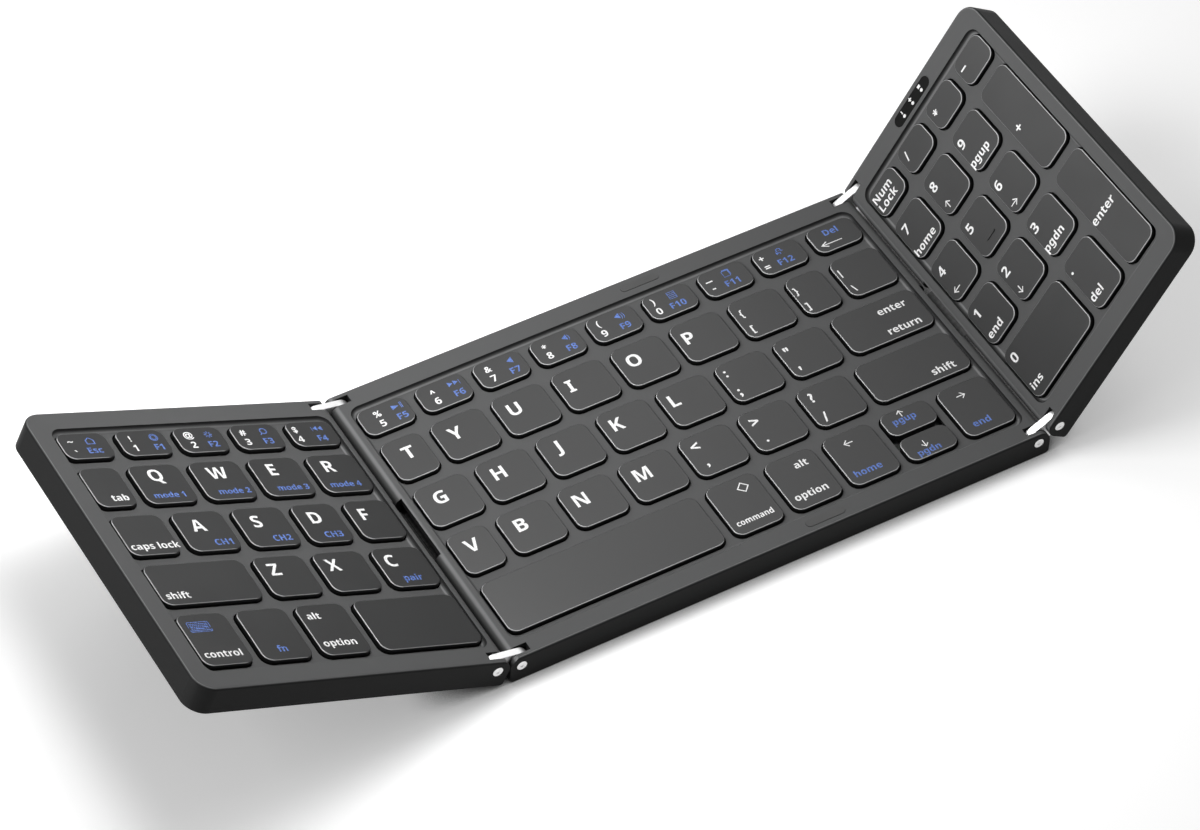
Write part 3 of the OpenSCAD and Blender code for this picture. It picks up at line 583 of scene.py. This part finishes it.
printing = {
    "thick": 0.02,
    "sunk": 0.008,
    "capital": 0.714,       # height of a capital in a font of size 1
    "lineSpace": 3.0,       # height of a text line in that font
    "lineMiddle": 0.35,     # how far the middle of a line is above its foot
    "curve": 4,             # steps in each curve of a letter
    "bold": 0.02,           # how much signs are thickened to match the letters
    "windowDrop": 0.05,     # the window lies this much lower than the key tops
}


def boldLetter(letter):
    # bold sans serif form of a letter or digit
    for first, last, start in (("A", "Z", 0x1D5D4), ("a", "z", 0x1D5EE), ("0", "9", 0x1D7EC)):
        if first <= letter <= last:
            return chr(start + ord(letter) - ord(first))
    return letter


def printTexts(texts, bold):
    # all texts as one mesh with a line for each text, which is then moved from its line to its place
    bpy.ops.object.text_add()
    words = bpy.context.object
    shown = ["".join(map(boldLetter, text)) for text, fit, x, y, z in texts]
    words.data.body = "\n".join(shown)
    words.data.space_line = printing["lineSpace"]
    words.data.resolution_u = printing["curve"]
    words.data.offset = bold
    words.data.extrude = 0.5
    bpy.ops.object.convert(target="MESH")
    lines = [[] for text in texts]
    for v in words.data.vertices:
        lines[round(printing["lineMiddle"] - v.co.y / printing["lineSpace"])].append(v)
    for (text, fit, x, y, z), line in zip(texts, lines):
        low, high = spread(line)
        if isinstance(fit, tuple):
            wide, tall = (fit[axis] / (high[axis] - low[axis]) for axis in (0, 1))
        else:
            wide = tall = fit / printing["capital"]
        for v in line:
            v.co = (x + wide * (v.co.x - (low[0] + high[0]) / 2),
                    y + tall * (v.co.y - (low[1] + high[1]) / 2),
                    z + printing["thick"] * (v.co.z + 0.5) - printing["sunk"])
    return words


def printLegends(node, ink):
    # letters have a bold form of their own; signs are thickened, unless they are fitted to a size
    z = panelTop / mm - (printing["windowDrop"] if node == "light_window" else 0)
    texts = [(text, fit, x, y, z) for lineInk, fit, y, line in legends[node] if lineInk == ink
             for x, text in line.items()]
    signs = [text for text in texts if not text[0][0].isalnum() and not isinstance(text[1], tuple)]
    words = [text for text in texts if text not in signs]
    made = [printTexts(group, bold) for group, bold in ((words, 0), (signs, printing["bold"])) if group]
    if not made:
        return
    bpy.ops.object.select_all(action="DESELECT")
    for piece in made:
        piece.select_set(True)
    bpy.context.view_layer.objects.active = made[0]
    if len(made) > 1:
        bpy.ops.object.join()
    legend = bpy.context.object
    legend.name = node + "_" + ink + "_print"
    legend.data.transform(places[panelOf(node)] @ Matrix.Scale(mm, 4))
    legend.data.materials.clear()
    legend.data.materials.append(finish(keyPrint, ink))
    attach(legend, bodyOf(node))


for node in legends:
    for ink in inks:
        printLegends(node, ink)
print("legends:", sum(len(line[3]) for lines in legends.values() for line in lines))


# camera

view = {
    "from": (-0.44461, -0.70400, 0.91923),
    "right": (0.868115, -0.496119, 0.015569),
    "up": (0.357338, 0.646429, 0.674121),
    "lens": 141.82,
    "sensor": 36.0,
    "nearest": 0.02,
}

forward = Vector(view["up"]).cross(Vector(view["right"]))
turn = Matrix((view["right"], view["up"], -forward)).transposed().to_4x4()
camera = bpy.data.objects.new("camera", bpy.data.cameras.new("camera"))
camera.matrix_world = Matrix.Translation(view["from"]) @ turn
camera.data.sensor_fit = "HORIZONTAL"
camera.data.sensor_width = view["sensor"]
camera.data.lens = view["lens"]
camera.data.clip_start = view["nearest"]
bpy.context.scene.collection.objects.link(camera)
bpy.context.scene.camera = camera


# floor and light

studio = {
    "floorSize": 6.0,
    "floorColour": 0.9,       # what the camera sees
    "floorBounce": 0.35,      # what lights the object from below
    "mirror": 0.8,            # how much of the bright floor shows in glossy parts
    "paintedContactShadow": 0.02,          # painted contact shadow: the floor's colour right under a body
    "reach": 0.012,           # how near a body has to be
    "open": (0.2, 0.75),      # share of open sky where the painted contact shadow is full and where the floor is pale
    "lift": 0.3,              # pushes the lit floor to plain white
    "fade": (0.27, 0.5),      # from here to there the floor turns plain white by itself
    "sky": 0.2,
    "near": {"at": (-0.08, 0.04, 0.21), "size": (0.12, 0.12), "watts": 0.4},
    "left": {"at": (-1.5, 0.1, 1.1), "size": (1.1, 1.4), "watts": 7},
    "low": {"at": (-1.7, 0.0, 0.1), "size": (1.2, 0.2), "watts": 10},
    "above": {"at": (0.6, 0.4, 1.6), "size": (1.4, 1.0), "watts": 7},
    "rear": {"at": (-0.09, 0.2, 0.15), "size": (0.1, 0.08), "watts": 0.14},
    "gloss": {"at": (0.12, 0.23, 0.27), "size": (0.1, 0.1), "watts": 0.045},
}


def paleFloor():
    # seen directly it is brighter than what lights the object, and right under a body it gets a painted
    # contact shadow
    floor = Shader("pale_floor", {})
    bounce = floor.add("ShaderNodeBsdfDiffuse", {}, {"Color": grey(studio["floorBounce"])})
    lit = floor.add("ShaderNodeBsdfDiffuse", {}, {"Color": grey(studio["floorColour"])})
    apart = floor.add("ShaderNodeVectorMath", {"operation": "LENGTH"}, {0: floor.place}, "Value")
    glow = floor.mix(floor.ramp(apart, *studio["fade"]), grey(studio["lift"]), grey(1.0))
    lift = floor.add("ShaderNodeEmission", {}, {"Color": glow})
    pale = floor.add("ShaderNodeAddShader", {}, {0: lit, 1: lift})
    # painted contact shadow, mixed in by how closed in the floor is
    paintedShadow = floor.add("ShaderNodeBsdfDiffuse", {}, {"Color": grey(studio["paintedContactShadow"])})
    free = floor.add("ShaderNodeAmbientOcclusion", {"samples": 8}, {"Distance": studio["reach"]}, "AO")
    shade = floor.add("ShaderNodeMixShader", {}, {0: floor.ramp(free, *studio["open"]), 1: paintedShadow, 2: pale})
    camera = floor.add("ShaderNodeLightPath", {}, {}, "Is Camera Ray")
    mirror = floor.add("ShaderNodeLightPath", {}, {}, "Is Glossy Ray")
    seen = floor.add("ShaderNodeMixShader", {}, {0: camera + mirror * studio["mirror"], 1: bounce, 2: shade})
    floor.plug(floor.nodes["Material Output"], {"Surface": seen})
    return floor.material


def addFloor():
    bpy.ops.object.select_all(action="DESELECT")
    bpy.ops.mesh.primitive_plane_add(size=studio["floorSize"])
    floor = bpy.context.object
    floor.name = "floor"
    floor.data.materials.append(paleFloor())


def addSoftbox(name):
    box = studio[name]
    lamp = bpy.data.lights.new(name + "_softbox", "AREA")
    lamp.shape = "RECTANGLE"
    lamp.size, lamp.size_y = box["size"]
    lamp.energy = box["watts"]
    holder = bpy.data.objects.new(name + "_softbox", lamp)
    holder.location = box["at"]
    holder.rotation_euler = (-Vector(box["at"])).to_track_quat("-Z", "Y").to_euler()
    bpy.context.scene.collection.objects.link(holder)


addFloor()
softboxes = ("near", "gloss", "left", "low", "above", "rear")
for name in softboxes:
    addSoftbox(name)

world = bpy.data.worlds.new("studio")
bpy.context.scene.world = world
world.use_nodes = True
world.node_tree.nodes["Background"].inputs["Color"].default_value = (1, 1, 1, 1)
world.node_tree.nodes["Background"].inputs["Strength"].default_value = studio["sky"]
bpy.context.scene.view_settings.view_transform = "Standard"
print("studio: floor,", len(softboxes), "softboxes")
